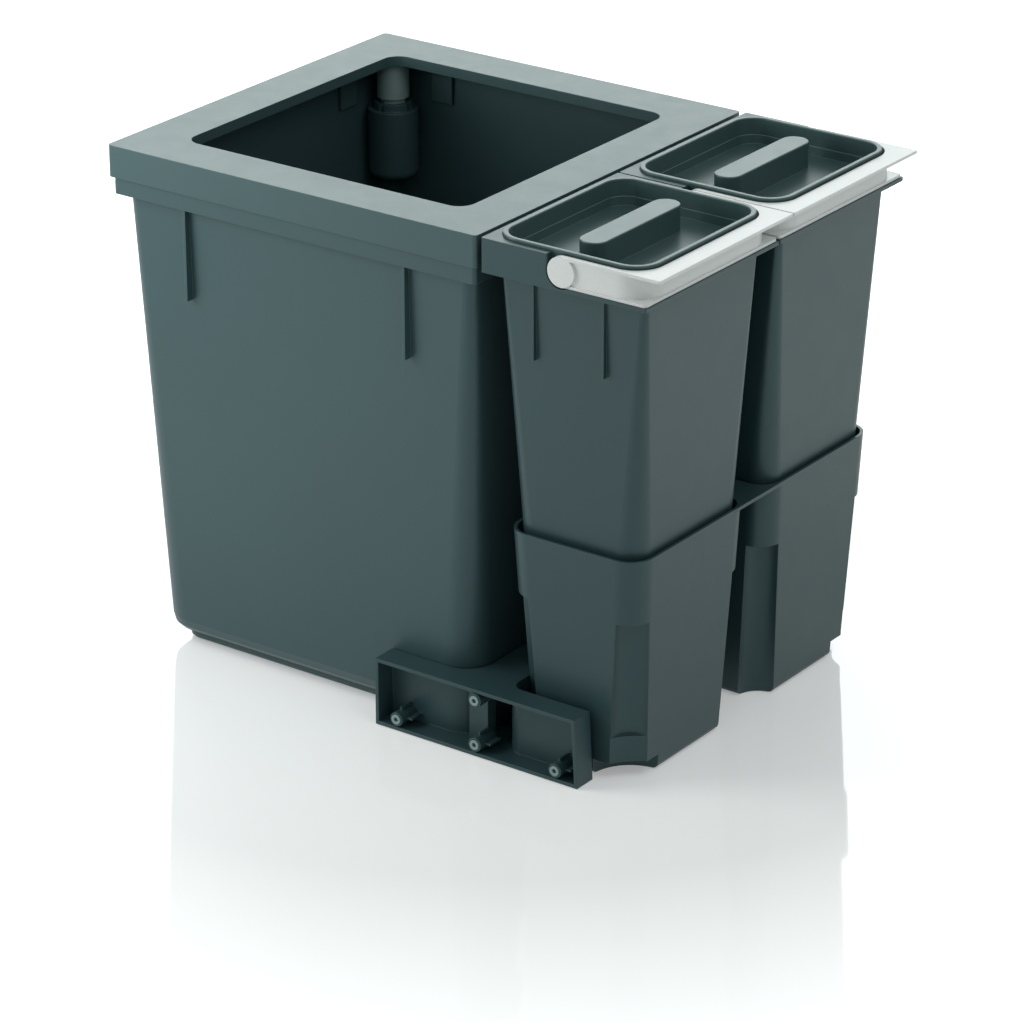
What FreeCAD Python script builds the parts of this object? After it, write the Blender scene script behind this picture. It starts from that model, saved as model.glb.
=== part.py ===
"""Waste bin insert for a front pull-out: one large bin under a bag frame, two slim bins with
lids and bail handles in a twin cup, and the carrier that is screwed to the drawer front.

Sizes are in millimetres.  Left to right is X, front to rear is Y (the drawer front is on the
low-Y side) and up is Z.  Every piece is drawn in one common frame whose corner is the left end
of the bag frame, the front of the fixing sleeves and the floor.  The placement then moves the
origin to the middle of the whole insert's footprint.
"""
import FreeCAD, Part
import math
import os
import re
import Sketcher

Vector = FreeCAD.Vector
doc = FreeCAD.newDocument("BinInsert")
sheet = doc.addObject("Spreadsheet::Sheet", "Sizes")

SIZES = {
    # the whole insert
    "frame_width": (301, "bag frame, left to right"),
    "frame_depth": (302, "bag frame, front to rear"),
    "top_height": (360, "floor to the top of the frame and of the slim rims"),
    "bin_gap": (4, "bag frame to the slim bins"),
    "slim_width": (124, "slim rim, left to right, without the handle"),
    "slim_gap": (1.4, "between the two slim rims"),
    "fit_gap": (0.4, "beside pieces that lift off or swing"),
    "seat_gap": (0.2, "under pieces that stand on others"),
    # bag frame
    "frame_skirt": (22, "height of the outer skirt"),
    "frame_wall": (1.9, "skirt and lip thickness"),
    "frame_plate": (2.4, "top plate thickness"),
    "frame_border": (36, "outer edge to the opening"),
    "frame_lip": (7.5, "depth of the lip round the opening"),
    "frame_corner": (3, "outer corner radius"),
    "opening_corner": (12, "opening corner radius"),
    "clip_width": (17.5, "bag clip, along the wall"),
    "clip_wall": (2, "bag clip thickness"),
    "clip_drop": (37, "top of the frame to the clip's end"),
    "clip_set": (51, "frame edge to the near side of a clip"),
    "clip_inset": (11.4, "frame edge to the clip's outer face"),
    # large bin
    "bin_wall": (2.2, "wall of every bin"),
    "bin_floor": (2.5, "floor of every bin"),
    "body_inset_top": (7.6, "frame edge to the body at its rim"),
    "body_inset_low": (17, "frame edge to the body above the foot"),
    "body_corner_top": (7, "corner radius at the rim"),
    "body_corner_low": (23, "corner radius above the foot"),
    "body_heel": (11, "rounding of the lower edge"),
    "foot_inset": (28.5, "frame edge to the foot"),
    "foot_height": (8, "height of the foot"),
    "foot_corner": (12, "foot corner radius"),
    "foot_heel": (4, "rounding of the foot's lower edge"),
    "band_drop": (12, "rim showing under the frame skirt"),
    "band_corner": (3, "corner radius of the turned-down rim"),
    "rib_width": (2.2, "large bin's rib"),
    "rib_proud": (6, "large bin's rib out of the face, at its lower end"),
    "rib_drop": (64.3, "rib length under the rim"),
    "rib_set": (60.5, "frame edge to the middle of a rib"),
    # post of the bag frame and its socket in the rear left corner
    "post_set": (28.6, "frame edges to the post's axis"),
    "post_radius": (11.4, "upper part of the post"),
    "post_drop": (33.5, "top of the frame to the shoulder"),
    "neck_radius": (8.6, "part of the post inside the socket"),
    "neck_length": (24, "shoulder to the lower end"),
    "post_wall": (1.8, "wall of the hollow post"),
    "socket_radius": (17.8, "outside of the socket column"),
    "socket_step": (8.5, "post's shoulder to the socket's mouth"),
    "socket_length": (50.5, "mouth to the rounded end"),
    "collar_radius": (13.6, "toothed collar on the socket"),
    "collar_height": (5, "height of the teeth"),
    "tooth_width": (3.2, "gap between two teeth"),
    # slim bins
    "ledge_drop": (20.4, "top to the ledge on which the handle lies"),
    "ledge_plate": (2.6, "ledge thickness"),
    "rim_wall": (2, "skirt of the slim rim"),
    "rim_plate": (2.4, "top plate of the slim rim"),
    "slim_left_top": (5.8, "rim edge to the body, left, under the ledge"),
    "slim_left_low": (17.5, "the same at the floor"),
    "slim_right_top": (8, "rim edge to the body, right, under the ledge"),
    "slim_right_low": (23, "the same at the floor"),
    "slim_front_top": (12, "rim edge to the body, front, under the ledge"),
    "slim_front_low": (23.4, "the same at the floor"),
    "slim_rear_top": (10.4, "rim edge to the body, rear, under the ledge"),
    "slim_rear_low": (13, "the same at the floor"),
    "slim_corner_top": (4, "corner radius under the ledge"),
    "slim_corner_mid": (16, "corner radius just inside the cup"),
    "flute_ease_top": (1.1399, "ease in the corner radius just above the cup's flutes"),
    "flute_ease_low": (8, "ease in the corner radius at the floor"),
    "slim_mid_height": (150, "height of the middle section"),
    "slim_rib_width": (1.6, "slim bin's rib"),
    "slim_rib_proud": (3.5, "slim bin's rib out of the face, at its lower end"),
    "slim_rib_drop": (55.4, "rib length under the ledge"),
    "slim_rib_middle": (58.7, "slim rim edge to the middle between the ribs"),
    "slim_rib_spread": (26.6, "that middle to a rib"),
    # lids
    "lid_left": (3.6, "slim rim edge to the lid, left"),
    "lid_right": (5.4, "slim rim edge to the lid, right"),
    "lid_front": (5.4, "slim rim edge to the lid, front and rear"),
    "lid_corner": (19, "lid corner radius"),
    "lid_proud": (2, "lip of the lid above the rim"),
    "lip_height": (2.5, "thickness of the lid's lip"),
    "collar_wall": (1.6, "upstand that carries the lid"),
    "lid_wall": (1.6, "wall and floor of the lid"),
    "lid_draft": (1, "tray narrows towards its floor, each side"),
    "tray_step": (6, "height of the step above the tray floor"),
    "tray_step_width": (0.8, "width of that step"),
    "tray_depth": (17.5, "lip to the tray floor"),
    "grip_width": (19, "grip bar, left to right"),
    "grip_end": (9.4, "radius of the grip bar's ends"),
    "grip_margin": (21, "lid edge to the grip bar, front and rear"),
    # handles
    "handle_reach": (10, "flange beyond the ledge"),
    "handle_arm": (3.8, "thickness of an arm"),
    "handle_web": (2, "web and flange thickness"),
    "handle_gap": (1.5, "lid edge to the handle"),
    "foot_set": (0.8, "low flange behind the edge of the ledge"),
    "foot_round": (2.5, "corner radius of the low flange"),
    "hub_radius": (10.1, "round end of an arm"),
    "hub_clear": (1.1, "round clearance of the hub in the rim"),
    "hub_left": (60.5, "slim rim edge to the pivot"),
    "pivot_radius": (3, "pivot stud"),
    "pivot_play": (0.05, "radial play of the stud"),
    "pivot_length": (3, "stud beyond the arm"),
    "pivot_boss": (6, "boss round the stud's bore"),
    # twin cup
    "cup_height": (160, "floor to the cup's rim"),
    "cup_wall": (2.2, "wall of the cups"),
    "cup_floor": (2.5, "floor of the cups"),
    "cup_left_top": (8, "slim rim edge to the cup, left, at its rim"),
    "cup_left_low": (15, "the same at the floor"),
    "cup_right_top": (12, "slim rim edge to the cup, right, at its rim"),
    "cup_right_low": (20.5, "the same at the floor"),
    "cup_front_top": (12.5, "slim rim edge to the cup, front, at its rim"),
    "cup_front_low": (21, "the same at the floor"),
    "cup_rear_top": (7.6, "slim rim edge to the cup, rear, at its rim"),
    "cup_rear_low": (10.4, "the same at the floor"),
    "cup_corner": (17, "cup corner radius"),
    "cup_heel": (4, "rounding of the cups' lower edge"),
    "web_plate": (2.4, "plate that joins the two cups"),
    "flute_height": (114.5, "height of the hollow corner flutes"),
    "flute_radius": (15.5, "flute radius at its top"),
    "flute_foot": (17.4, "flute radius at the floor"),
    "flute_wall": (1.8, "cup wall inside a flute"),
    "lug_height": (30, "height of the plug in the outer flute by the notch"),
    "lug_offset": (16, "axis of the plug's face outside the cup's corner, each way"),
    "notch_radius": (30, "corner notch in the cup's foot"),
    "notch_height": (11, "height of that notch"),
    # carrier
    "fixing_shift": (0.4, "bag frame's right end to the middle fixings"),
    "carrier_left": (81.8, "middle fixings to the bracket's left end"),
    "carrier_right": (78.5, "middle fixings to the bracket's right end, at its top"),
    "carrier_height": (48, "height of the carrier"),
    "carrier_draft": (2.7, "bracket wider at the floor, at its right end"),
    "carrier_wall": (2.4, "wall of the carrier"),
    "bracket_proud": (3, "bracket front before the rims"),
    "bin_clear": (0.8, "large bin to the carrier"),
    "strip_rear": (14.5, "rim front to the rear of the bracket's strip"),
    "bow_ease": (2, "large bin's lower corner radius less the carrier's bend"),
    "spine_left": (13.6, "frame edge to the spine, beside the large bin"),
    "spine_right": (12.2, "slim rim edge to the spine, beside the cup"),
    "spine_rear": (15, "frame rear to the end of the spine"),
    "bend_corner": (9, "inner bend from the bracket to the spine, beside the cup"),
    "pillar_width": (15, "pillar behind the middle fixings"),
    "pillar_front": (11, "rim front to the pillar"),
    "pillar_depth": (9, "pillar, front to rear"),
    # fixings
    "hole_pitch": (32, "furniture hole pitch"),
    "hole_height": (8.4, "floor to the lower fixings"),
    "boss_radius": (4.9, "boss round a sleeve"),
    "boss_front": (0.8, "front of the sleeve to the boss"),
    "sleeve_radius": (3.4, "fixing sleeve"),
    "sleeve_bore": (1.6, "radius of the sleeve's bore"),
    "sleeve_proud": (1.6, "sleeve before the bracket front"),
    "sleeve_length": (15, "fixing sleeve, end to end"),
    "sleeve_play": (0.05, "sleeve in its boss, each side"),
    "fin_width": (4, "fin beside a lower boss"),
    "fin_wall": (1.4, "fin thickness"),
    "fin_set": (4.5, "bracket front to the fins"),
}

# Places that follow from the sizes above, in the same words.
PLACES = {
    "rim_front": "sleeve_proud + bracket_proud",
    "rim_rear": "rim_front + frame_depth",
    "slim_left": "frame_width + bin_gap",
    "slim_right": "slim_left + slim_width",
    "slim_depth": "(frame_depth - slim_gap) / 2",
    "slim_pitch": "(frame_depth + slim_gap) / 2",
    "slim_back": "rim_front + slim_depth",
    "ledge_top": "top_height - ledge_drop",
    "ledge_under": "ledge_top - ledge_plate",
    "skirt_low": "top_height - frame_skirt",
    "band_inset": "frame_wall + fit_gap",
    "band_low": "skirt_low - band_drop",
    "body_top": "top_height - frame_plate - seat_gap",
    "post_x": "post_set",
    "post_y": "rim_rear - post_set",
    "shoulder": "top_height - post_drop",
    "socket_top": "shoulder - socket_step",
    "collar_inner": "neck_radius + fit_gap",
    "hub_x": "slim_left + hub_left",
    "hub_z": "ledge_top + seat_gap + hub_radius",
    "hub_slot": "hub_radius + hub_clear",
    "lid_top": "top_height + lid_proud",
    "lid_seat": "lid_top - lip_height - seat_gap",
    "lid_x0": "slim_left + lid_left",
    "lid_x1": "slim_right - lid_right",
    "lid_y0": "rim_front + lid_front",
    "lid_y1": "slim_back - lid_front",
    "tray_floor": "lid_top - tray_depth",
    "tray_out": "collar_wall + fit_gap",
    "tray_in": "tray_out + lid_wall",
    "rest_top": "notch_height + flute_wall",
    "slim_floor": "rest_top + seat_gap",
    "flute_top": "flute_height + 2 * flute_wall",
    "flute_share": "(ledge_under - flute_top) / (ledge_under - slim_floor)",
    "left_gap": "slim_left_top + (slim_left_low - slim_left_top) * flute_share"
                " - cup_left_low - (cup_left_top - cup_left_low) * flute_top / cup_height",
    "rear_gap": "slim_rear_top + (slim_rear_low - slim_rear_top) * flute_share"
                " - cup_rear_low - (cup_rear_top - cup_rear_low) * flute_top / cup_height",
    "slim_corner_flute": "2.5 * (flute_radius + flute_wall) - 2 * (left_gap + rear_gap)"
                         " + flute_ease_top",
    "slim_corner_low": "2.5 * (flute_foot + flute_wall) - flute_ease_low",
    "handle_right": "slim_right + handle_reach",
    "carrier_middle": "frame_width + fixing_shift",
    "bow_radius": "body_corner_low - bow_ease",
    "bracket_front": "sleeve_proud",
    "bracket_left": "carrier_middle - carrier_left",
    "bracket_right": "carrier_middle + carrier_right",
    "spine_x0": "frame_width - spine_left",
    "spine_x1": "slim_left + spine_right",
    "spine_y1": "rim_rear - spine_rear",
    "strip_y": "rim_front + strip_rear",
    "heel_top": "foot_height + body_heel",
    "bin_slope": "(body_inset_low - body_inset_top) / (body_top - heel_top)",
    "bin_inset": "body_inset_low - (carrier_height - heel_top) * bin_slope",
    "bow_y": "rim_front + bin_inset - bin_clear",
    "total_width": "handle_right",
    "total_depth": "rim_rear",
}


def bound(text):
    """The expression behind a text in the sheet's own words."""
    def replace(word):
        name = word.group()
        if name in PLACES:
            return "(" + bound(PLACES[name]) + ")"
        return "Sizes." + name if name in SIZES else name
    return re.sub(r"[a-z_][a-z_0-9]*", replace, str(text))


def size(text):
    """The value of such a text, in millimetres."""
    return float(sheet.evalExpression(bound(text)))


def fill_sheet():
    """Write every driving size with its note."""
    for row, (name, (number, note)) in enumerate(SIZES.items(), start=1):
        sheet.set("A%d" % row, note)
        sheet.set("B%d" % row, str(number))
        sheet.setAlias("B%d" % row, name)
    doc.recompute()


# ---------------------------------------------------------------- drawing helpers

def new_body(label):
    """An empty part body; the common frame is its own frame."""
    body = doc.addObject("PartDesign::Body", label)
    body.Label = label
    return body


def new_sketch(body, name, plane, offset):
    """A sketch on one of the body's own planes; on XZ the offset is measured along +Y."""
    sketch = body.newObject("Sketcher::SketchObject", name)
    for feature in body.Origin.OriginFeatures:
        if feature.Role == plane:
            sketch.AttachmentSupport = (feature, [""])
    sketch.MapMode = "FlatFace"
    sign = "-" if plane == "XZ_Plane" else ""
    sketch.setExpression("AttachmentOffset.Base.z", "%s(%s)" % (sign, bound(offset)))
    return sketch


def fix_point(sketch, geometry, end, x, y):
    """Hold one end or centre of a curve at x, y from the sketch's origin."""
    for kind, text in (("DistanceX", x), ("DistanceY", y)):
        value = size(text)
        index = sketch.addConstraint(Sketcher.Constraint(kind, -1, 1, geometry, end, value))
        label = "%s%d_%d" % (kind[-1].lower(), geometry, end)
        sketch.renameConstraint(index, label)
        sketch.setExpression("Constraints." + label, bound(text))


def fix_radius(sketch, geometry, text):
    """Hold the radius of an arc or a circle."""
    index = sketch.addConstraint(Sketcher.Constraint("Radius", geometry, size(text)))
    label = "r%d" % geometry
    sketch.renameConstraint(index, label)
    sketch.setExpression("Constraints." + label, bound(text))


def shifted(text, radius, step):
    """The text moved by a radius along a step of -1, 0 or 1."""
    if step == 0 or radius is None:
        return text
    return "%s %s (%s)" % (text, "+" if step > 0 else "-", radius)


def add_outline(sketch, corners):
    """A closed outline of level and upright edges; a corner may carry a radius."""
    count = len(corners)
    spots = [Vector(size(x), size(y), 0) for x, y, radius in corners]
    steps = []
    for index in range(count):
        away = spots[(index + 1) % count] - spots[index]
        steps.append((round(away.x / away.Length), round(away.y / away.Length)))
    lines = []
    for index in range(count):
        after = (index + 1) % count
        x0, y0, r0 = corners[index]
        x1, y1, r1 = corners[after]
        dx, dy = steps[index]
        start = (shifted(x0, r0, dx), shifted(y0, r0, dy))
        finish = (shifted(x1, r1, -dx), shifted(y1, r1, -dy))
        edge = Part.LineSegment(Vector(size(start[0]), size(start[1]), 0),
                                Vector(size(finish[0]), size(finish[1]), 0))
        line = sketch.addGeometry(edge, False)
        fix_point(sketch, line, 1, *start)
        if r1 is not None:
            fix_point(sketch, line, 2, *finish)
        lines.append(line)
    for index in range(count):
        radius = corners[index][2]
        before, after = lines[index - 1], lines[index]
        if radius is None:
            sketch.addConstraint(Sketcher.Constraint("Coincident", before, 2, after, 1))
            continue
        (ax, ay), (bx, by) = steps[index - 1], steps[index]
        reach = size(radius)
        centre = spots[index] + Vector(bx - ax, by - ay, 0) * reach
        left_turn = ax * by - ay * bx > 0
        first, last = (-bx, -by), (ax, ay)
        if not left_turn:
            first, last = last, first
        start_angle = math.atan2(first[1], first[0])
        end_angle = math.atan2(last[1], last[0])
        circle = Part.Circle(centre, Vector(0, 0, 1), reach)
        arc = sketch.addGeometry(Part.ArcOfCircle(circle, start_angle, end_angle), False)
        head, tail = ((before, 2), (after, 1)) if left_turn else ((after, 1), (before, 2))
        sketch.addConstraint(Sketcher.Constraint("Coincident", arc, 1, *head))
        sketch.addConstraint(Sketcher.Constraint("Coincident", arc, 2, *tail))
        fix_radius(sketch, arc, radius)


def rectangle(x0, x1, y0, y1, radius=None):
    """The corners of a rectangle, anticlockwise from the low corner."""
    return [(x0, y0, radius), (x1, y0, radius), (x1, y1, radius), (x0, y1, radius)]


def outline(body, name, height, *loops, plane="XY_Plane"):
    """A sketch that holds one or more closed outlines."""
    sketch = new_sketch(body, name, plane, height)
    for corners in loops:
        add_outline(sketch, corners)
    return sketch


def circles(body, name, height, spots, plane="XY_Plane"):
    """A sketch of circles, each given by its centre and radius."""
    sketch = new_sketch(body, name, plane, height)
    for x, y, radius in spots:
        circle = Part.Circle(Vector(size(x), size(y), 0), Vector(0, 0, 1), size(radius))
        index = sketch.addGeometry(circle, False)
        fix_point(sketch, index, 3, x, y)
        fix_radius(sketch, index, radius)
    return sketch


def extrude(body, kind, sketch, length, towards_plus):
    """Pad or pocket a sketch; towards_plus says whether it runs along +Z, or +Y on XZ."""
    feature = body.newObject("PartDesign::" + kind, kind + sketch.Name)
    feature.Profile = sketch
    feature.Type = 0
    feature.setExpression("Length", bound(length))
    upright = "XZ_Plane" not in [link.Role for link, _ in sketch.AttachmentSupport]
    pad_goes_plus = upright
    goes_plus = pad_goes_plus if kind == "Pad" else not pad_goes_plus
    feature.Reversed = goes_plus != towards_plus
    return feature


def pad(body, sketch, length, towards_plus=True):
    return extrude(body, "Pad", sketch, length, towards_plus)


def pocket(body, sketch, length, towards_plus=True):
    return extrude(body, "Pocket", sketch, length, towards_plus)


def loft(body, kind, *sketches):
    """A straight-sided loft through level sketches, from the lowest up."""
    feature = body.newObject("PartDesign::" + kind, kind + sketches[0].Name)
    feature.Profile = sketches[0]
    feature.Sections = [(sketch, [""]) for sketch in sketches[1:]]
    feature.Ruled = True
    return feature


def revolve(body, name, x, y, profile):
    """Turn a profile of (radius, height) corners about the upright axis at x, y."""
    sketch = new_sketch(body, name, "XZ_Plane", y)
    corners = [("(%s) + (%s)" % (x, radius), height, rounding)
               for radius, height, rounding in profile]
    add_outline(sketch, corners)
    low, high = size(profile[0][1]), size(profile[-1][1])
    axis = Part.LineSegment(Vector(size(x), low, 0), Vector(size(x), high, 0))
    line = sketch.addGeometry(axis, True)
    fix_point(sketch, line, 1, x, profile[0][1])
    fix_point(sketch, line, 2, x, profile[-1][1])
    feature = body.newObject("PartDesign::Revolution", "Turn" + name)
    feature.Profile = sketch
    feature.ReferenceAxis = (sketch, ["Axis0"])
    feature.Angle = 360
    return feature


def round_edges(body, name, radius, wanted):
    """Round those edges of the body so far whose box the test accepts."""
    doc.recompute()
    base = body.Tip
    names = ["Edge%d" % number for number, edge in enumerate(base.Shape.Edges, start=1)
             if wanted(edge.BoundBox)]
    feature = body.newObject("PartDesign::Fillet", name)
    feature.Base = (base, names)
    feature.setExpression("Radius", bound(radius))
    return feature


def place(piece, steps_back=0):
    """Bring the origin to the middle of the footprint; the rear bin set is one pitch further."""
    piece.setExpression("Placement.Base.x", bound("-(total_width) / 2"))
    shift = "%d * (slim_pitch) - (total_depth) / 2" % steps_back
    piece.setExpression("Placement.Base.y", bound(shift))


def cut(label, base, *tools):
    """The base less each tool in turn."""
    for index, tool in enumerate(tools):
        result = doc.addObject("Part::Cut", "%s_cut%d" % (label, index))
        result.Base = base
        result.Tool = tool
        base = result
    base.Label = label
    return base


# ---------------------------------------------------------------- large bin

# A rounded lower edge in flat steps: share of its radius upwards, and inwards.
HEEL_STEPS = ((0, 1), (0.13, 0.5), (0.5, 0.13), (1, 0))


def frame_rectangle(inset, radius):
    """A rectangle inside the bag frame's outer edge."""
    return rectangle(inset, "frame_width - (%s)" % inset,
                     "rim_front + (%s)" % inset, "rim_rear - (%s)" % inset, radius)


def build_big_bin():
    """Tapered body on a foot, with a turned-down rim, ribs and the corner socket."""
    body = new_body("big_bin")
    sections = []
    for index, (rise, pull) in enumerate(HEEL_STEPS):
        inset = "body_inset_low + %s * body_heel" % pull
        height = "foot_height + %s * body_heel" % rise
        corner = "body_corner_low - %s * body_heel" % pull
        sections.append(outline(body, "Heel%d" % index, height,
                                frame_rectangle(inset, corner)))
    sections.append(outline(body, "BodyHigh", "body_top",
                            frame_rectangle("body_inset_top", "body_corner_top")))
    loft(body, "AdditiveLoft", *sections)
    feet = [outline(body, "Foot%d" % index, "%s * foot_heel" % rise,
                    frame_rectangle("foot_inset + %s * foot_heel" % pull,
                                    "foot_corner - %s * foot_heel" % pull))
            for index, (rise, pull) in enumerate(HEEL_STEPS)]
    feet.append(outline(body, "FootHigh", "foot_height + bin_floor",
                        frame_rectangle("foot_inset", "foot_corner")))
    loft(body, "AdditiveLoft", *feet)
    band = outline(body, "Band", "band_low",
                   frame_rectangle("band_inset", "band_corner"),
                   frame_rectangle("band_inset + bin_wall", "band_corner - bin_wall / 2"))
    pad(body, band, "body_top - (band_low)")
    plate = outline(body, "RimPlate", "body_top - bin_wall",
                    frame_rectangle("band_inset", "band_corner"))
    pad(body, plate, "bin_wall")
    add_big_ribs(body)
    add_cavity(body)
    add_socket(body)
    return body


def add_big_ribs(body):
    """Two short ribs under the rim, on the front and on the rear."""
    end = "band_low - rib_drop"
    face = "body_inset_top + (body_top - (%s)) * bin_slope" % end
    near = "rim_front + %s - rib_proud" % face
    far = "rim_rear - (%s) + rib_proud" % face
    root = "rib_proud + bin_wall / 4"
    for side, (y0, y1) in enumerate(((near, "%s + %s" % (near, root)),
                                     ("%s - (%s)" % (far, root), far))):
        loops = []
        for middle in ("rib_set", "frame_width - rib_set"):
            loops.append(rectangle("%s - rib_width / 2" % middle,
                                   "%s + rib_width / 2" % middle, y0, y1))
        ribs = outline(body, "Ribs%d" % side, end, *loops)
        pad(body, ribs, "rib_drop + bin_wall")


def add_cavity(body):
    """Hollow the body and its foot."""
    low = outline(body, "HollowLow", "foot_height + bin_floor",
                  frame_rectangle("body_inset_low + bin_wall + body_heel / 2",
                                  "body_corner_low - bin_wall - body_heel / 2"))
    bend = outline(body, "HollowBend", "foot_height + bin_floor + body_heel / 2",
                   frame_rectangle("body_inset_low + bin_wall", "body_corner_low - bin_wall"))
    high = outline(body, "HollowHigh", "body_top",
                   frame_rectangle("body_inset_top + bin_wall", "body_corner_top - bin_wall"))
    loft(body, "SubtractiveLoft", low, bend, high)
    foot = outline(body, "FootHollow", "foot_height + bin_floor",
                   frame_rectangle("foot_inset + bin_wall", "foot_corner - bin_wall"))
    pocket(body, foot, "foot_height", towards_plus=False)


def add_socket(body):
    """The round column in the rear left corner, with its toothed mouth."""
    end = "socket_top - socket_length"
    revolve(body, "Socket", "post_x", "post_y",
            [("0", end, None), ("socket_radius", end, "socket_radius * 0.35"),
             ("socket_radius", "socket_top", None), ("0", "socket_top", None)])
    collar = circles(body, "Collar", "socket_top", [("post_x", "post_y", "collar_radius")])
    pad(body, collar, "collar_height")
    reach = "collar_radius + 1"
    for index, (half_x, half_y) in enumerate(((reach, "tooth_width / 2"),
                                              ("tooth_width / 2", reach))):
        slots = outline(body, "Teeth%d" % index, "socket_top",
                        rectangle("post_x - (%s)" % half_x, "post_x + %s" % half_x,
                                  "post_y - (%s)" % half_y, "post_y + %s" % half_y))
        pocket(body, slots, "collar_height")
    bore = circles(body, "SocketBore", "socket_top - neck_length",
                   [("post_x", "post_y", "collar_inner")])
    pocket(body, bore, "neck_length + collar_height")


# ---------------------------------------------------------------- bag frame

def build_bag_frame():
    """Square frame that lies over the large bin's rim and holds the bag."""
    body = new_body("bag_frame")
    block = outline(body, "Block", "skirt_low", frame_rectangle("0", "frame_corner"))
    pad(body, block, "frame_skirt")
    under = outline(body, "Under", "skirt_low",
                    frame_rectangle("frame_wall", "frame_corner - frame_wall / 2"))
    pocket(body, under, "frame_skirt - frame_plate")
    lip = outline(body, "Lip", "top_height - frame_lip",
                  frame_rectangle("frame_border - frame_wall", "opening_corner + frame_wall"))
    pad(body, lip, "frame_lip")
    opening = outline(body, "Opening", "top_height - frame_lip",
                      frame_rectangle("frame_border", "opening_corner"))
    pocket(body, opening, "frame_lip")
    add_clips(body)
    return body


def add_clips(body):
    """Eight flat clips hang inside the bin's wall, two at each corner."""
    end = "top_height - clip_drop"
    inner = "clip_inset + clip_wall"
    near, far = "clip_set", "clip_set + clip_width"
    loops = []
    for along in ((near, far), ("frame_width - (%s)" % far, "frame_width - %s" % near)):
        loops.append(rectangle(*along, "rim_front + clip_inset", "rim_front + %s" % inner))
        loops.append(rectangle(*along, "rim_rear - (%s)" % inner, "rim_rear - clip_inset"))
    for along in (("rim_front + %s" % near, "rim_front + %s" % far),
                  ("rim_rear - (%s)" % far, "rim_rear - %s" % near)):
        loops.append(rectangle("clip_inset", inner, *along))
        loops.append(rectangle("frame_width - (%s)" % inner, "frame_width - clip_inset", *along))
    clips = outline(body, "Clips", end, *loops)
    pad(body, clips, "clip_drop - frame_plate / 2")


def build_frame_post():
    """Hollow stepped post under the frame; its neck stands in the socket."""
    body = new_body("frame_post")
    low = "shoulder - neck_length + fit_gap"
    top = "top_height - frame_plate"
    bore = "neck_radius - post_wall"
    roof = "top_height - frame_plate - post_wall"
    revolve(body, "Post", "post_x", "post_y",
            [(bore, low, None), ("neck_radius", low, None), ("neck_radius", "shoulder", None),
             ("post_radius", "shoulder", None), ("post_radius", top, None), ("0", top, None),
             ("0", roof, None), (bore, roof, None)])
    return body


# ---------------------------------------------------------------- slim bins

def slim_section(body, name, height, share, corner, wall="0"):
    """A level section of the slim body; share runs from 0 under the ledge to 1 at the floor."""
    def inset(side):
        top, low = "slim_%s_top" % side, "slim_%s_low" % side
        return "%s + (%s - %s) * (%s) + %s" % (top, low, top, share, wall)
    corners = rectangle("slim_left + " + inset("left"), "slim_right - (%s)" % inset("right"),
                        "rim_front + " + inset("front"), "slim_back - (%s)" % inset("rear"),
                        "%s - %s" % (corner, wall))
    return outline(body, name, height, corners)


def lid_rectangle(inset):
    """A rounded rectangle inside the lid's outline."""
    return rectangle("lid_x0 + %s" % inset, "lid_x1 - (%s)" % inset,
                     "lid_y0 + %s" % inset, "lid_y1 - (%s)" % inset, "lid_corner - (%s)" % inset)


def build_slim_bin(name, steps_back):
    """Slim tapered bin with a stepped rim: full skirt on the left, ledge for the handle."""
    body = new_body(name)
    share = "(ledge_under - (%s)) / (ledge_under - (slim_floor))"
    bends = (("Flute", "flute_top", "slim_corner_flute"),
             ("Mid", "slim_mid_height", "slim_corner_mid"))
    loft(body, "AdditiveLoft",
         slim_section(body, "BodyLow", "slim_floor", "1", "slim_corner_low"),
         *[slim_section(body, "Body" + tag, height, share % height, corner)
           for tag, height, corner in bends],
         slim_section(body, "BodyHigh", "ledge_under", "0", "slim_corner_top"))
    ledge = outline(body, "Ledge", "ledge_under",
                    rectangle("slim_left", "slim_right", "rim_front", "slim_back", "1"))
    pad(body, ledge, "ledge_plate")
    collar = outline(body, "Upstand", "ledge_under", lid_rectangle("0"))
    pad(body, collar, "lid_seat - (ledge_under)")
    rim_end = "hub_x - hub_radius - fit_gap"
    rim = outline(body, "Rim", "ledge_under",
                  rectangle("slim_left", rim_end, "rim_front", "slim_back", "1"))
    pad(body, rim, "ledge_plate + ledge_drop")
    cheek_back = "rim_front + handle_arm + fit_gap"
    cheek_fore = "slim_back - handle_arm - fit_gap"
    cheeks = outline(body, "Cheeks", "ledge_under",
                     rectangle(rim_end + " - rim_wall", "hub_x", "rim_front", cheek_back),
                     rectangle(rim_end + " - rim_wall", "hub_x", cheek_fore, "slim_back"))
    pad(body, cheeks, "hub_z - (ledge_under)")
    well = outline(body, "LidWell", "lid_seat", lid_rectangle("-fit_gap"))
    pocket(body, well, "top_height - (lid_seat) + 1")
    add_rim_hollow(body, rim_end)
    add_pivot_bosses(body)
    add_slim_ribs(body)
    floor = "slim_floor + bin_floor"
    loft(body, "SubtractiveLoft",
         slim_section(body, "HollowLow", floor, share % floor, "slim_corner_low", "bin_wall"),
         *[slim_section(body, "Hollow" + tag, height, share % height, corner, "bin_wall")
           for tag, height, corner in bends],
         slim_section(body, "HollowHigh", "ledge_under", "0", "slim_corner_top", "bin_wall"))
    mouth = slim_section(body, "Mouth", "ledge_under", "0", "slim_corner_top", "bin_wall")
    pocket(body, mouth, "ledge_plate")
    inside = outline(body, "UpstandInside", "ledge_top", lid_rectangle("collar_wall"))
    pocket(body, inside, "ledge_drop + 1")
    add_pivot_bores(body)
    place(body, steps_back)
    return body


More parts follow.
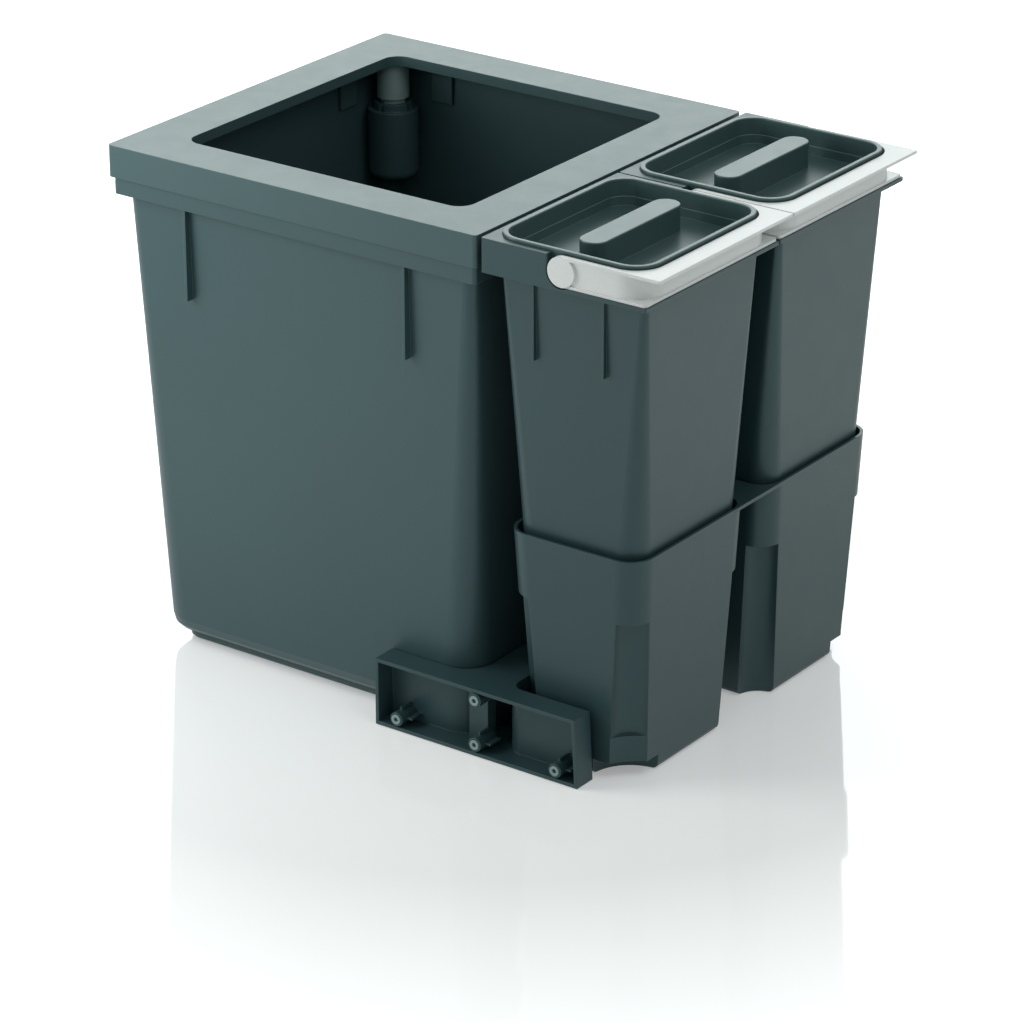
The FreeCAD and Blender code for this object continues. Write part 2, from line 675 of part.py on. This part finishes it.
def add_rim_hollow(body, rim_end):
    """The rim's front and rear strips are open below."""
    x0, x1 = "slim_left + rim_wall + lid_left", rim_end + " - rim_wall"
    strips = outline(body, "RimHollow", "ledge_under",
                     rectangle(x0, x1, "rim_front + rim_wall", "lid_y0"),
                     rectangle(x0, x1, "lid_y1", "slim_back - rim_wall"))
    pocket(body, strips, "ledge_plate + ledge_drop - rim_plate")


def add_pivot_bosses(body):
    """Round slots for the arms' ends, and a boss behind each."""
    sides = (("Front", "rim_front", "rim_front + handle_arm + fit_gap", "lid_y0 + collar_wall"),
             ("Rear", "slim_back - handle_arm - fit_gap", "lid_y1 - collar_wall",
              "slim_back - handle_arm - fit_gap"))
    for side, slot_y, boss_y, boss_end in sides:
        slot = circles(body, "Slot" + side, slot_y, [("hub_x", "hub_z", "hub_slot")], "XZ_Plane")
        pocket(body, slot, "handle_arm + fit_gap")
        boss = circles(body, "Boss" + side, boss_y, [("hub_x", "hub_z", "pivot_boss")],
                       "XZ_Plane")
        pad(body, boss, "%s - (%s)" % (boss_end, boss_y))


def add_pivot_bores(body):
    """Bores in which the handle's studs turn."""
    for side, start in (("Front", "rim_front"), ("Rear", "lid_y1 - collar_wall - 1")):
        bore = circles(body, "Bore" + side, start,
                       [("hub_x", "hub_z", "pivot_radius + pivot_play")], "XZ_Plane")
        pocket(body, bore, "lid_front + collar_wall + 1")


def add_slim_ribs(body):
    """Two short ribs under the ledge on the front face."""
    middle = "slim_left + slim_rib_middle"
    slope = "(slim_front_low - slim_front_top) / (ledge_under - (slim_floor))"
    face = "rim_front + slim_front_top + slim_rib_drop * " + slope
    loops = []
    for sign in ("-", "+"):
        centre = "%s %s slim_rib_spread" % (middle, sign)
        loops.append(rectangle("%s - slim_rib_width / 2" % centre,
                               "%s + slim_rib_width / 2" % centre,
                               "%s - slim_rib_proud" % face, "%s + bin_wall / 4" % face))
    ribs = outline(body, "Ribs", "ledge_under - slim_rib_drop", *loops)
    pad(body, ribs, "slim_rib_drop + ledge_plate / 2")


# ---------------------------------------------------------------- lids

def build_lid(name, steps_back):
    """Tray-shaped lid with a narrow lip and a hollow grip bar as high as the lip."""
    body = new_body(name)
    lip_under = "lid_top - lip_height"
    lip = outline(body, "Lip", lip_under, lid_rectangle("0"))
    pad(body, lip, "lip_height")
    tray_under = "tray_floor - lid_wall"
    loft(body, "AdditiveLoft",
         outline(body, "TrayLow", tray_under, lid_rectangle("tray_out + lid_draft")),
         outline(body, "TrayHigh", lip_under, lid_rectangle("tray_out")))
    step_top = "tray_floor + tray_step"
    loft(body, "SubtractiveLoft",
         outline(body, "StepHigh", step_top, lid_rectangle("tray_in + lid_draft / 2")),
         outline(body, "Brim", "lid_top", lid_rectangle("tray_in")))
    loft(body, "SubtractiveLoft",
         outline(body, "FloorLow", "tray_floor",
                 lid_rectangle("tray_in + lid_draft + tray_step_width / 2")),
         outline(body, "StepLow", step_top, lid_rectangle("tray_in + tray_step_width")))
    grip = outline(body, "Grip", "tray_floor", grip_rectangle("0"))
    pad(body, grip, "tray_depth")
    hollow = outline(body, "GripHollow", tray_under, grip_rectangle("lid_wall"))
    pocket(body, hollow, "tray_depth")
    top = size("lid_top")
    round_edges(body, "SoftEdges", "lid_wall / 2",
                lambda box: abs(box.ZMin - top) < 0.01 and abs(box.ZMax - top) < 0.01)
    place(body, steps_back)
    return body


def grip_rectangle(inset):
    """The grip bar's outline, or one inside it."""
    middle = "(lid_x0 + lid_x1) / 2"
    half = "grip_width / 2 - (%s)" % inset
    return rectangle("%s - (%s)" % (middle, half), "%s + %s" % (middle, half),
                     "lid_y0 + grip_margin + %s" % inset, "lid_y1 - grip_margin - (%s)" % inset,
                     "grip_end - (%s)" % inset)


# ---------------------------------------------------------------- handles

def bail_outline(right, front, rear, corner):
    """A bail seen from above: open to the left at the pivots, its inside round the lid."""
    inner_right = "lid_x1 + handle_gap"
    inner_front = "rim_front + handle_arm"
    inner_rear = "slim_back - handle_arm"
    inner_corner = "lid_corner + handle_gap"
    return [("hub_x", front, None), (right, front, corner), (right, rear, corner),
            ("hub_x", rear, None), ("hub_x", inner_rear, None),
            (inner_right, inner_rear, inner_corner), (inner_right, inner_front, inner_corner),
            ("hub_x", inner_front, None)]


def build_handle(name, steps_back):
    """Channel-section bail, lying round the right half of the rim, with round hub ends."""
    body = new_body(name)
    low = "ledge_top + seat_gap"
    web_back = "handle_arm - handle_web"
    web = outline(body, "Web", low,
                  bail_outline("lid_x1 + handle_gap + handle_web", "rim_front + " + web_back,
                               "slim_back - (%s)" % web_back,
                               "lid_corner + handle_gap + handle_web"))
    pad(body, web, "top_height - (%s)" % low)
    top = outline(body, "TopFlange", "top_height - handle_web",
                  bail_outline("handle_right", "rim_front", "slim_back", "1"))
    pad(body, top, "handle_web")
    foot = outline(body, "LowFlange", low,
                   bail_outline("slim_right - foot_set", "rim_front + foot_set",
                                "slim_back - foot_set", "foot_round"))
    pad(body, foot, "handle_web")
    for side, hub_y, stud_y, inward in (("Front", "rim_front", "rim_front + handle_arm", True),
                                        ("Rear", "slim_back", "slim_back - handle_arm", False)):
        hub = circles(body, "Hub" + side, hub_y, [("hub_x", "hub_z", "hub_radius")], "XZ_Plane")
        pad(body, hub, "handle_arm", towards_plus=inward)
        stud = circles(body, "Stud" + side, stud_y, [("hub_x", "hub_z", "pivot_radius")],
                       "XZ_Plane")
        pad(body, stud, "pivot_length", towards_plus=inward)
    place(body, steps_back)
    return body


# ---------------------------------------------------------------- twin cup

def cup_inset(side, height):
    """Distance from the slim rim's edge to the cup's face at a height."""
    top, low = "cup_%s_top" % side, "cup_%s_low" % side
    return "%s + (%s - %s) * (%s) / cup_height" % (low, top, low, height)


def cup_edges(height, back, wall="0"):
    """The cup's four faces at a height; back is 0 for the front cup and 1 for the rear cup."""
    shift = "%d * (slim_pitch)" % back
    return ("slim_left + %s + %s" % (cup_inset("left", height), wall),
            "slim_right - (%s) - (%s)" % (cup_inset("right", height), wall),
            "rim_front + %s + %s + %s" % (shift, cup_inset("front", height), wall),
            "slim_back + %s - (%s) - (%s)" % (shift, cup_inset("rear", height), wall))


def cup_section(body, name, height, back, wall="0"):
    corners = rectangle(*cup_edges(height, back, wall), "cup_corner - %s" % wall)
    return outline(body, name, height, corners)


def cup_heel(body, name, back):
    """The sections of the cup's rounded lower edge."""
    return [cup_section(body, "%s%d" % (name, index), "%s * cup_heel" % rise, back,
                        "%s * cup_heel" % pull)
            for index, (rise, pull) in enumerate(HEEL_STEPS)]


def flute_circle(body, name, height, back, corner, radius, offset="0"):
    """A flute's circle at a height, with its axis at or outside one corner of the cup."""
    x0, x1, y0, y1 = cup_edges(height, back)
    x = "%s - %s" % (x0, offset) if corner in (0, 3) else "%s + %s" % (x1, offset)
    y = "%s - %s" % (y0, offset) if corner in (0, 1) else "%s + %s" % (y1, offset)
    return circles(body, name, height, [(x, y, radius)])


# The flutes with a plug, as (cup, corner): the outer right corners.
PLUGGED = ((0, 1), (1, 2))


def add_flutes(body, back, wall, plugs):
    """Cut the four corner flutes; each follows the taper of its corner."""
    top = "flute_height + %s" % wall
    for corner in range(4):
        tag = "Flute%d%d" % (back, corner)
        plugged = plugs and (back, corner) in PLUGGED
        start = "lug_height" if plugged else "0"
        radius = "flute_foot + (flute_radius - flute_foot) * (%s) / flute_height" % start
        loft(body, "SubtractiveLoft",
             flute_circle(body, tag + "Low", start, back, corner, "%s + %s" % (radius, wall)),
             flute_circle(body, tag + "High", top, back, corner, "flute_radius + %s" % wall))
        if plugged:
            face = "sqrt((flute_foot + lug_offset)^2 + lug_offset^2)"
            loft(body, "SubtractiveLoft",
                 flute_circle(body, tag + "Foot", "0", back, corner, face, "lug_offset"),
                 flute_circle(body, tag + "Plug", "lug_height", back, corner, face,
                              "lug_offset"))


def add_notch(body, back, corner, radius, height):
    """Cut the round notch in the cup's foot at one of its right corners."""
    x0, x1, y0, y1 = cup_edges("0", back)
    spot = [(x1, y0 if corner == 1 else y1, radius)]
    pocket(body, circles(body, "Notch%d" % back, "0", spot), height)


def build_cup_holder():
    """Two tapered cups joined by a plate; the mould's cores are taken from the outer form."""
    form = new_body("cup_form")
    loft(form, "AdditiveLoft", *cup_heel(form, "FrontHeel", 0),
         cup_section(form, "FrontHigh", "cup_height", 0))
    x0, x1, y0, front_end = cup_edges("cup_height", 0)
    rear_start = cup_edges("cup_height", 1)[2]
    web = outline(form, "WebPlate", "cup_height - web_plate",
                  rectangle(x0, x1, front_end + " - cup_corner", rear_start + " + cup_corner"))
    pad(form, web, "web_plate")
    loft(form, "AdditiveLoft", *cup_heel(form, "RearHeel", 1),
         cup_section(form, "RearHigh", "cup_height", 1))
    for back in (0, 1):
        add_flutes(form, back, "0", plugs=True)
    add_notch(form, 0, 1, "notch_radius", "notch_height")
    add_notch(form, 1, 2, "notch_radius", "notch_height")
    cores = []
    for back in (0, 1):
        core = new_body("cup_core_%d" % back)
        loft(core, "AdditiveLoft",
             cup_section(core, "CoreLow", "cup_floor", back, "cup_wall"),
             cup_section(core, "CoreHigh", "cup_height", back, "cup_wall"))
        add_flutes(core, back, "flute_wall", plugs=False)
        add_notch(core, back, 1 if back == 0 else 2, "notch_radius + flute_wall", "rest_top")
        add_rests(core, back)
        cores.append(core)
    return cut("cup_holder", form, *cores)


def add_rests(core, back):
    """Leave crossed ribs on the cup's floor, on which the slim bin stands."""
    x0, x1, y0, y1 = cup_edges("cup_floor", back)
    middle = "((%s) + (%s)) / 2"
    half = "cup_wall / 2"
    across = rectangle(x0, x1, "%s - %s" % (middle % (y0, y1), half),
                       "%s + %s" % (middle % (y0, y1), half))
    along = rectangle("%s - %s" % (middle % (x0, x1), half),
                      "%s + %s" % (middle % (x0, x1), half), y0, y1)
    for name, strip in (("RestAcross", across), ("RestAlong", along)):
        pocket(core, outline(core, name, "cup_floor", strip), "rest_top - cup_floor")


# ---------------------------------------------------------------- carrier

def carrier_outline(inset, front, draft="0"):
    """The carrier from above: strip of the bracket, bend round the large bin, and spine."""
    left = "bracket_left + %s" % inset
    right = "bracket_right - (%s) + %s" % (inset, draft)
    spine_x = "spine_x1 - (%s)" % inset
    return [
        (left, front, None),
        (right, front, None),
        (right, "strip_y - (%s)" % inset, None),
        (spine_x, "strip_y - (%s)" % inset, "bend_corner + %s" % inset),
        (spine_x, "spine_y1 - (%s)" % inset, None),
        ("spine_x0 + %s" % inset, "spine_y1 - (%s)" % inset, None),
        ("spine_x0 + %s" % inset, "bow_y - (%s)" % inset, "bow_radius + %s" % inset),
        (left, "bow_y - (%s)" % inset, None),
    ]


def fixing_spots():
    """The four fixings: two low outer ones and a pair one above the other in the middle."""
    low = "hole_height"
    return [("carrier_middle - 2 * hole_pitch", low), ("carrier_middle", low),
            ("carrier_middle + 2 * hole_pitch", low), ("carrier_middle", "hole_height + hole_pitch")]


def build_base_carrier():
    """Bracket for the drawer front, running back as a hollow spine between the bins."""
    body = new_body("base_carrier")
    loft(body, "AdditiveLoft",
         outline(body, "BlockLow", "0",
                 carrier_outline("0", "bracket_front / 2", "carrier_draft")),
         outline(body, "BlockHigh", "carrier_height",
                 carrier_outline("0", "bracket_front / 2")))
    loft(body, "SubtractiveLoft",
         outline(body, "RecessLow", "carrier_wall",
                 carrier_outline("carrier_wall", "0", "carrier_draft")),
         outline(body, "RecessHigh", "carrier_height - carrier_wall",
                 carrier_outline("carrier_wall", "0")))
    face = outline(body, "FrontFace", "bracket_front",
                   rectangle("bracket_left - 1", "bracket_right + carrier_draft + 1",
                             "-1", "carrier_height + 1"), plane="XZ_Plane")
    pocket(body, face, "bracket_front", towards_plus=False)
    under = outline(body, "SpineUnder", "0",
                    rectangle("spine_x0 + carrier_wall", "spine_x1 - carrier_wall",
                              "bow_y + 3 * bow_radius", "spine_y1 - carrier_wall"))
    pocket(body, under, "carrier_wall")
    pillar = outline(body, "Pillar", "carrier_wall / 2",
                     rectangle("carrier_middle - pillar_width", "carrier_middle",
                               "rim_front + pillar_front",
                               "rim_front + pillar_front + pillar_depth"))
    pad(body, pillar, "carrier_height - carrier_wall")
    back = "strip_y - carrier_wall / 2"
    front = "boss_front"
    spots = [(x, z, "boss_radius") for x, z in fixing_spots()]
    bosses = circles(body, "Bosses", front, spots, "XZ_Plane")
    pad(body, bosses, "%s - (%s)" % (back, front))
    level, upright = [], []
    for x, z in fixing_spots()[:3]:
        level.append(rectangle(x, "%s + boss_radius + fin_width" % x,
                               "%s - fin_wall / 2" % z, "%s + fin_wall / 2" % z))
        upright.append(rectangle("%s - fin_wall / 2" % x, "%s + fin_wall / 2" % x,
                                 z, "%s + boss_radius + fin_width / 2" % z))
    for name, fins in (("LevelFins", level), ("UprightFins", upright)):
        fin = outline(body, name, "bracket_front + fin_set", *fins, plane="XZ_Plane")
        pad(body, fin, "%s - (bracket_front + fin_set)" % back)
    seats = circles(body, "SleeveSeats", "0",
                    [(x, z, "sleeve_radius + sleeve_play") for x, z in fixing_spots()],
                    "XZ_Plane")
    pocket(body, seats, "sleeve_length + sleeve_play")
    return body


def build_fixing_sleeves():
    """Four plain tubes, pressed into the bosses from the front."""
    tubes = []
    for index, (x, z) in enumerate(fixing_spots()):
        pins = []
        for tag, radius in (("Outer", "sleeve_radius"), ("Inner", "sleeve_bore")):
            pin = doc.addObject("Part::Cylinder", "Sleeve%s%d" % (tag, index))
            pin.setExpression("Radius", bound(radius))
            pin.setExpression("Height", bound("sleeve_length"))
            pin.Placement.Rotation = FreeCAD.Rotation(Vector(1, 0, 0), -90)
            pin.setExpression("Placement.Base.x", bound(x))
            pin.setExpression("Placement.Base.z", bound(z))
            pins.append(pin)
        tubes.append(cut("sleeve_%d" % index, *pins))
    group = doc.addObject("Part::Compound", "fixing_sleeves")
    group.Links = tubes
    group.Label = "fixing_sleeves"
    return group


# ---------------------------------------------------------------- build and write

def build_all():
    """Every piece, with its place."""
    fill_sheet()
    pieces = [build_big_bin(), build_bag_frame(), build_frame_post(), build_cup_holder(),
              build_base_carrier(), build_fixing_sleeves()]
    for piece in pieces:
        place(piece)
    for steps_back, side in enumerate(("front", "rear")):
        pieces.append(build_slim_bin("slim_bin_" + side, steps_back))
        pieces.append(build_lid("lid_" + side, steps_back))
        pieces.append(build_handle("handle_" + side, steps_back))
    doc.recompute()
    return pieces


def check(pieces):
    """Stop if any object failed or any piece is not a sound shape."""
    for item in doc.Objects:
        if "Invalid" in item.State or "Error" in item.State:
            raise RuntimeError("%s failed: %s" % (item.Label, item.State))
    for piece in pieces:
        shape = piece.Shape
        if shape.isNull() or not shape.isValid():
            raise RuntimeError("%s has no sound shape" % piece.Label)
        print("%-16s %d solid(s) %9.1f cm3" % (piece.Label, len(shape.Solids),
                                               shape.Volume / 1000))


def write(pieces):
    """One file for each piece."""
    os.makedirs("parts", exist_ok=True)
    for piece in pieces:
        piece.Shape.exportStep("parts/%s.step" % piece.Label)


made = build_all()
check(made)
write(made)
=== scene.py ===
"""Looks of the waste bin insert: moulded plastics, studio light and the camera.

Lengths are in metres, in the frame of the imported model.
"""
import math

import bpy
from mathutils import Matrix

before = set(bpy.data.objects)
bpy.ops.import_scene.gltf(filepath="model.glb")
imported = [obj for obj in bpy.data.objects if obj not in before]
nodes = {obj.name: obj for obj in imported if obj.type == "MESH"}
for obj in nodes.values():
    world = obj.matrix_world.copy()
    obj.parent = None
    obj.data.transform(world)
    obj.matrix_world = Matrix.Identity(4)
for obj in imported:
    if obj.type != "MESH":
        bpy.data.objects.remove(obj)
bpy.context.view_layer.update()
scene = bpy.context.scene

# Camera: the place and angles that line up with the photograph.
IMAGE_SIDE = 1022
FOCAL_PIXELS = 4377.0
SENSOR_WIDTH = 36.0
AZIMUTH = 35.80
ELEVATION = 23.61
CAMERA_PLACE = (1.5971, -2.2127, 1.2928)
VIEW_DEPTH = 30.0

# Plastic colours, linear.
ANTHRACITE = (0.034, 0.068, 0.075)
ANTHRACITE_PAINTED_SHADE = (0.021, 0.048, 0.054)
# The same anthracite made darker: painted shade for the slim bins, the cup holder and the
# carrier, which sit further from the left light.
FRAME_GREY = (0.042, 0.080, 0.085)
LID_GREY = (0.044, 0.084, 0.086)
PALE_GREY = (0.24, 0.34, 0.33)
WHITE = (0.80, 0.83, 0.815)

# Tints of the plastics' reflections.
COOL_SHINE = (0.80, 1.0, 0.99)
PLAIN_SHINE = (1.0, 1.0, 1.0)

# Surface pattern: how many noise cells there are to a metre.
CLOUD_CELLS = 7.0
WAVE_CELLS = 16.0
SCUFF_CELLS = 55.0
SPECK_CELLS = 900.0
GRAIN_CELLS = 2600.0

# Radius of the moulded edges, and the cosines between which the painted edge highlight fades in.
EDGE_RADIUS = 0.0006
EDGE_TURNED = 0.82
EDGE_FLAT = 0.995

MICRON = 0.000001
PLASTIC_IOR = 1.5

# Floor: half its side, a gap below the feet, and its colour and gloss.
FLOOR_REACH = 6.0
FLOOR_GAP = 0.0006
FLOOR_COLOUR = (0.86, 0.89, 0.88)
FLOOR_ROUGHNESS = 0.05
FLOOR_IOR = 1.7

# The floor's glow, seen only directly, inside and outside the ring where it rises.
GLOW_NEAR = 0.28
GLOW_FAR = 0.60
RING_INSIDE = 0.34
RING_OUTSIDE = 0.56

# World: the light on the object, and the white that is seen directly.
SOFT_LIGHT = ((0.96, 1.0, 1.0), 0.38)
WHITE_BACKGROUND = ((1.0, 1.0, 1.0), 1.0)


# ---------------------------------------------------------------- node graphs

class Graph:
    """Short calls for the nodes of a material or of the world."""

    def __init__(self, owner):
        owner.use_nodes = True
        self.tree = owner.node_tree
        self.tree.nodes.clear()

    def node(self, kind, inputs=None, **settings):
        """Add a node; inputs are numbers, or colours of three channels."""
        made = self.tree.nodes.new("ShaderNode" + kind)
        for key, value in settings.items():
            setattr(made, key, value)
        for key, value in (inputs or {}).items():
            made.inputs[key].default_value = (*value, 1.0) if isinstance(value, tuple) else value
        return made

    def link(self, source, target):
        self.tree.links.new(source, target)

    def join(self, kind, first, second, **settings):
        """Add a node and feed its first two inputs."""
        made = self.node(kind, **settings)
        self.link(first, made.inputs[0])
        self.link(second, made.inputs[1])
        return made

    def noise(self, place, cells, detail=2.0, roughness=0.5, distortion=0.0):
        made = self.node("TexNoise", {"Scale": cells, "Detail": detail,
                                      "Roughness": roughness, "Distortion": distortion})
        self.link(place, made.inputs["Vector"])
        return made.outputs["Fac"]

    def spread(self, value, low, high, start=0.3, end=0.7):
        """Spread a value between start and end over low to high."""
        made = self.node("MapRange", {"From Min": start, "From Max": end,
                                      "To Min": low, "To Max": high})
        self.link(value, made.inputs["Value"])
        return made.outputs["Result"]

    def mix(self, share, first, second):
        """Blend from the first colour, plain or a socket, to a second, plain one."""
        made = self.node("Mix", data_type="RGBA")
        self.link(share, made.inputs["Factor"])
        if isinstance(first, tuple):
            made.inputs[6].default_value = (*first, 1.0)
        else:
            self.link(first, made.inputs[6])
        made.inputs[7].default_value = (*second, 1.0)
        return made.outputs[2]

    def bump(self, height, depth, normal):
        """Raise the surface by up to a depth, on top of a normal."""
        made = self.node("Bump", {"Distance": depth, "Strength": 1.0})
        self.link(height, made.inputs["Height"])
        self.link(normal, made.inputs["Normal"])
        return made.outputs["Normal"]

    def seen_directly(self):
        """1 for rays from the camera, a reflection or a clear body, 0 for scattered light."""
        path = self.node("LightPath")
        value = path.outputs["Is Camera Ray"]
        for other in ("Is Glossy Ray", "Is Transmission Ray"):
            value = self.join("Math", value, path.outputs[other], operation="MAXIMUM").outputs[0]
        return value


# ---------------------------------------------------------------- plastics

def shaded(colour, factor):
    return tuple(channel * factor for channel in colour)


def plastic_colour(graph, place, colour):
    """A plastic's colour, with faint clouds and lighter specks."""
    clouds = graph.noise(place, CLOUD_CELLS, 3.0, 0.55)
    specks = graph.noise(place, SPECK_CELLS, 1.0)
    body = graph.mix(graph.spread(clouds, 0.0, 1.0), shaded(colour, 0.97), shaded(colour, 1.03))
    return graph.mix(graph.spread(specks, 0.0, 0.25, 0.35, 0.75), body, shaded(colour, 1.18))


def edge_highlight_share(graph, rounded):
    """Share of the painted edge highlight: 1 where the rounded normal turns away from the face,
    0 on flat faces.
    """
    face = graph.node("NewGeometry").outputs["Normal"]
    turn = graph.join("VectorMath", rounded, face, operation="DOT_PRODUCT").outputs["Value"]
    return graph.spread(turn, 1.0, 0.0, EDGE_TURNED, EDGE_FLAT)


def moulded_plastic(name, colour, roughness, grain_depth, wave_depth, painted_edge_highlight=1.5,
                    tint=COOL_SHINE):
    """Injection-moulded plastic: fine grain, slow waves, rounded edges with a painted highlight,
    faint scuffs.
    """
    material = bpy.data.materials.new(name)
    graph = Graph(material)
    place = graph.node("TexCoord").outputs["Object"]
    rounded = graph.node("Bevel", {"Radius": EDGE_RADIUS}, samples=6).outputs["Normal"]
    # The rounded edges are painted lighter than the face: a painted highlight.
    body = graph.mix(edge_highlight_share(graph, rounded), plastic_colour(graph, place, colour),
                     shaded(colour, painted_edge_highlight))

    waves = graph.bump(graph.noise(place, WAVE_CELLS, 1.0, 0.4), wave_depth, rounded)
    grain = graph.bump(graph.noise(place, GRAIN_CELLS, 1.5, 0.6), grain_depth, waves)
    scuffs = graph.noise(place, SCUFF_CELLS, 5.0, 0.65, 0.6)

    shader = graph.node("BsdfPrincipled", {"IOR": PLASTIC_IOR, "Specular Tint": tint})
    graph.link(body, shader.inputs["Base Color"])
    graph.link(graph.spread(scuffs, roughness - 0.02, roughness + 0.03),
               shader.inputs["Roughness"])
    graph.link(grain, shader.inputs["Normal"])
    graph.link(shader.outputs["BSDF"], graph.node("OutputMaterial").inputs["Surface"])
    return material


def dress(names, material):
    """Give CAD nodes a material in place of their own."""
    for name in names:
        slots = nodes[name].data.materials
        slots.clear()
        slots.append(material)


dress(["big_bin"],
      moulded_plastic("bin_anthracite", ANTHRACITE, 0.42, 4 * MICRON, 120 * MICRON))
# The slim bins, cup holder and carrier get the darker anthracite: painted shade, not a different
# plastic.
dress(["slim_bin_front", "slim_bin_rear"],
      moulded_plastic("slim_anthracite_painted_shade", ANTHRACITE_PAINTED_SHADE, 0.40, 4 * MICRON, 120 * MICRON))
dress(["cup_holder"],
      moulded_plastic("cup_anthracite_painted_shade", ANTHRACITE_PAINTED_SHADE, 0.40, 5 * MICRON, 120 * MICRON))
dress(["base_carrier"],
      moulded_plastic("carrier_anthracite_painted_shade", ANTHRACITE_PAINTED_SHADE, 0.46, 6 * MICRON, 100 * MICRON))
dress(["bag_frame"],
      moulded_plastic("frame_grey", FRAME_GREY, 0.38, 3 * MICRON, 20 * MICRON))
dress(["lid_front", "lid_rear"],
      moulded_plastic("lid_grey", LID_GREY, 0.35, 3 * MICRON, 50 * MICRON))
dress(["frame_post"],
      moulded_plastic("post_grey", PALE_GREY, 0.45, 4 * MICRON, 60 * MICRON))
dress(["fixing_sleeves"],
      moulded_plastic("sleeve_grey", PALE_GREY, 0.40, 4 * MICRON, 40 * MICRON))
dress(["handle_front", "handle_rear"],
      moulded_plastic("handle_white", WHITE, 0.30, 2 * MICRON, 40 * MICRON, painted_edge_highlight=1.08,
                      tint=PLAIN_SHINE))


# ---------------------------------------------------------------- floor, light and camera

def floor_material():
    """Pale gloss plus a glow that rises to white away from the object."""
    material = bpy.data.materials.new("floor_pale")
    graph = Graph(material)
    gloss = graph.node("BsdfPrincipled", {"Base Color": FLOOR_COLOUR,
                                          "Roughness": FLOOR_ROUGHNESS, "IOR": FLOOR_IOR})
    away = graph.node("VectorMath", operation="LENGTH")
    graph.link(graph.node("NewGeometry").outputs["Position"], away.inputs[0])
    rise = graph.spread(away.outputs["Value"], GLOW_NEAR, GLOW_FAR, RING_INSIDE, RING_OUTSIDE)
    strength = graph.join("Math", rise, graph.seen_directly(), operation="MULTIPLY")
    glow = graph.node("Emission")
    graph.link(strength.outputs[0], glow.inputs["Strength"])
    both = graph.join("AddShader", gloss.outputs["BSDF"], glow.outputs["Emission"])
    graph.link(both.outputs["Shader"], graph.node("OutputMaterial").inputs["Surface"])
    return material


def make_floor():
    """A flat square just below the object."""
    reach = FLOOR_REACH
    corners = [(-reach, -reach, 0), (reach, -reach, 0), (reach, reach, 0), (-reach, reach, 0)]
    mesh = bpy.data.meshes.new("floor")
    mesh.from_pydata(corners, [], [(0, 1, 2, 3)])
    mesh.materials.append(floor_material())
    floor = bpy.data.objects.new("floor", mesh)
    floor.location.z = -FLOOR_GAP
    scene.collection.objects.link(floor)


def make_world():
    """Even soft light on the object; the camera and reflections see white."""
    world = bpy.data.worlds.new("studio")
    scene.world = world
    graph = Graph(world)
    blend = graph.node("MixShader")
    graph.link(graph.seen_directly(), blend.inputs["Fac"])
    for slot, (colour, strength) in enumerate((SOFT_LIGHT, WHITE_BACKGROUND), start=1):
        light = graph.node("Background", {"Color": colour, "Strength": strength})
        graph.link(light.outputs[0], blend.inputs[slot])
    graph.link(blend.outputs[0], graph.node("OutputWorld").inputs["Surface"])


def make_lamp(name, place, aim, size, power, colour=(1.0, 1.0, 1.0)):
    """A square soft lamp, unseen itself, that points at a spot."""
    data = bpy.data.lights.new(name, "AREA")
    data.shape = "SQUARE"
    data.size = size
    data.energy = power
    data.color = colour
    lamp = bpy.data.objects.new(name, data)
    scene.collection.objects.link(lamp)
    lamp.location = place
    lamp.visible_camera = False
    away = [end - start for start, end in zip(place, aim)]
    flat = math.hypot(away[0], away[1])
    lamp.rotation_euler = (math.atan2(flat, -away[2]), 0.0, math.atan2(-away[0], away[1]))


def make_camera():
    """The camera at the photograph's angle, with its focal length in pixels of the image."""
    data = bpy.data.cameras.new("camera")
    data.sensor_width = SENSOR_WIDTH
    data.lens = FOCAL_PIXELS / IMAGE_SIDE * SENSOR_WIDTH
    data.clip_end = VIEW_DEPTH
    camera = bpy.data.objects.new("camera", data)
    scene.collection.objects.link(camera)
    camera.location = CAMERA_PLACE
    camera.rotation_euler = (math.radians(90.0 - ELEVATION), 0.0, math.radians(AZIMUTH))
    scene.camera = camera


make_floor()
make_world()
make_lamp("behind", (-1.9, 2.6, 1.55), (0.0, 0.0, 0.3), size=2.2, power=30.0,
          colour=(0.90, 1.0, 0.99))
make_lamp("near_left", (-0.40, -0.46, 0.50), (-0.16, -0.15, 0.26), size=0.35, power=2.1)
make_lamp("above_right", (1.0, -0.2, 1.5), (0.0, 0.0, 0.2), size=0.8, power=3.8)
make_camera()
scene.view_settings.view_transform = "Standard"
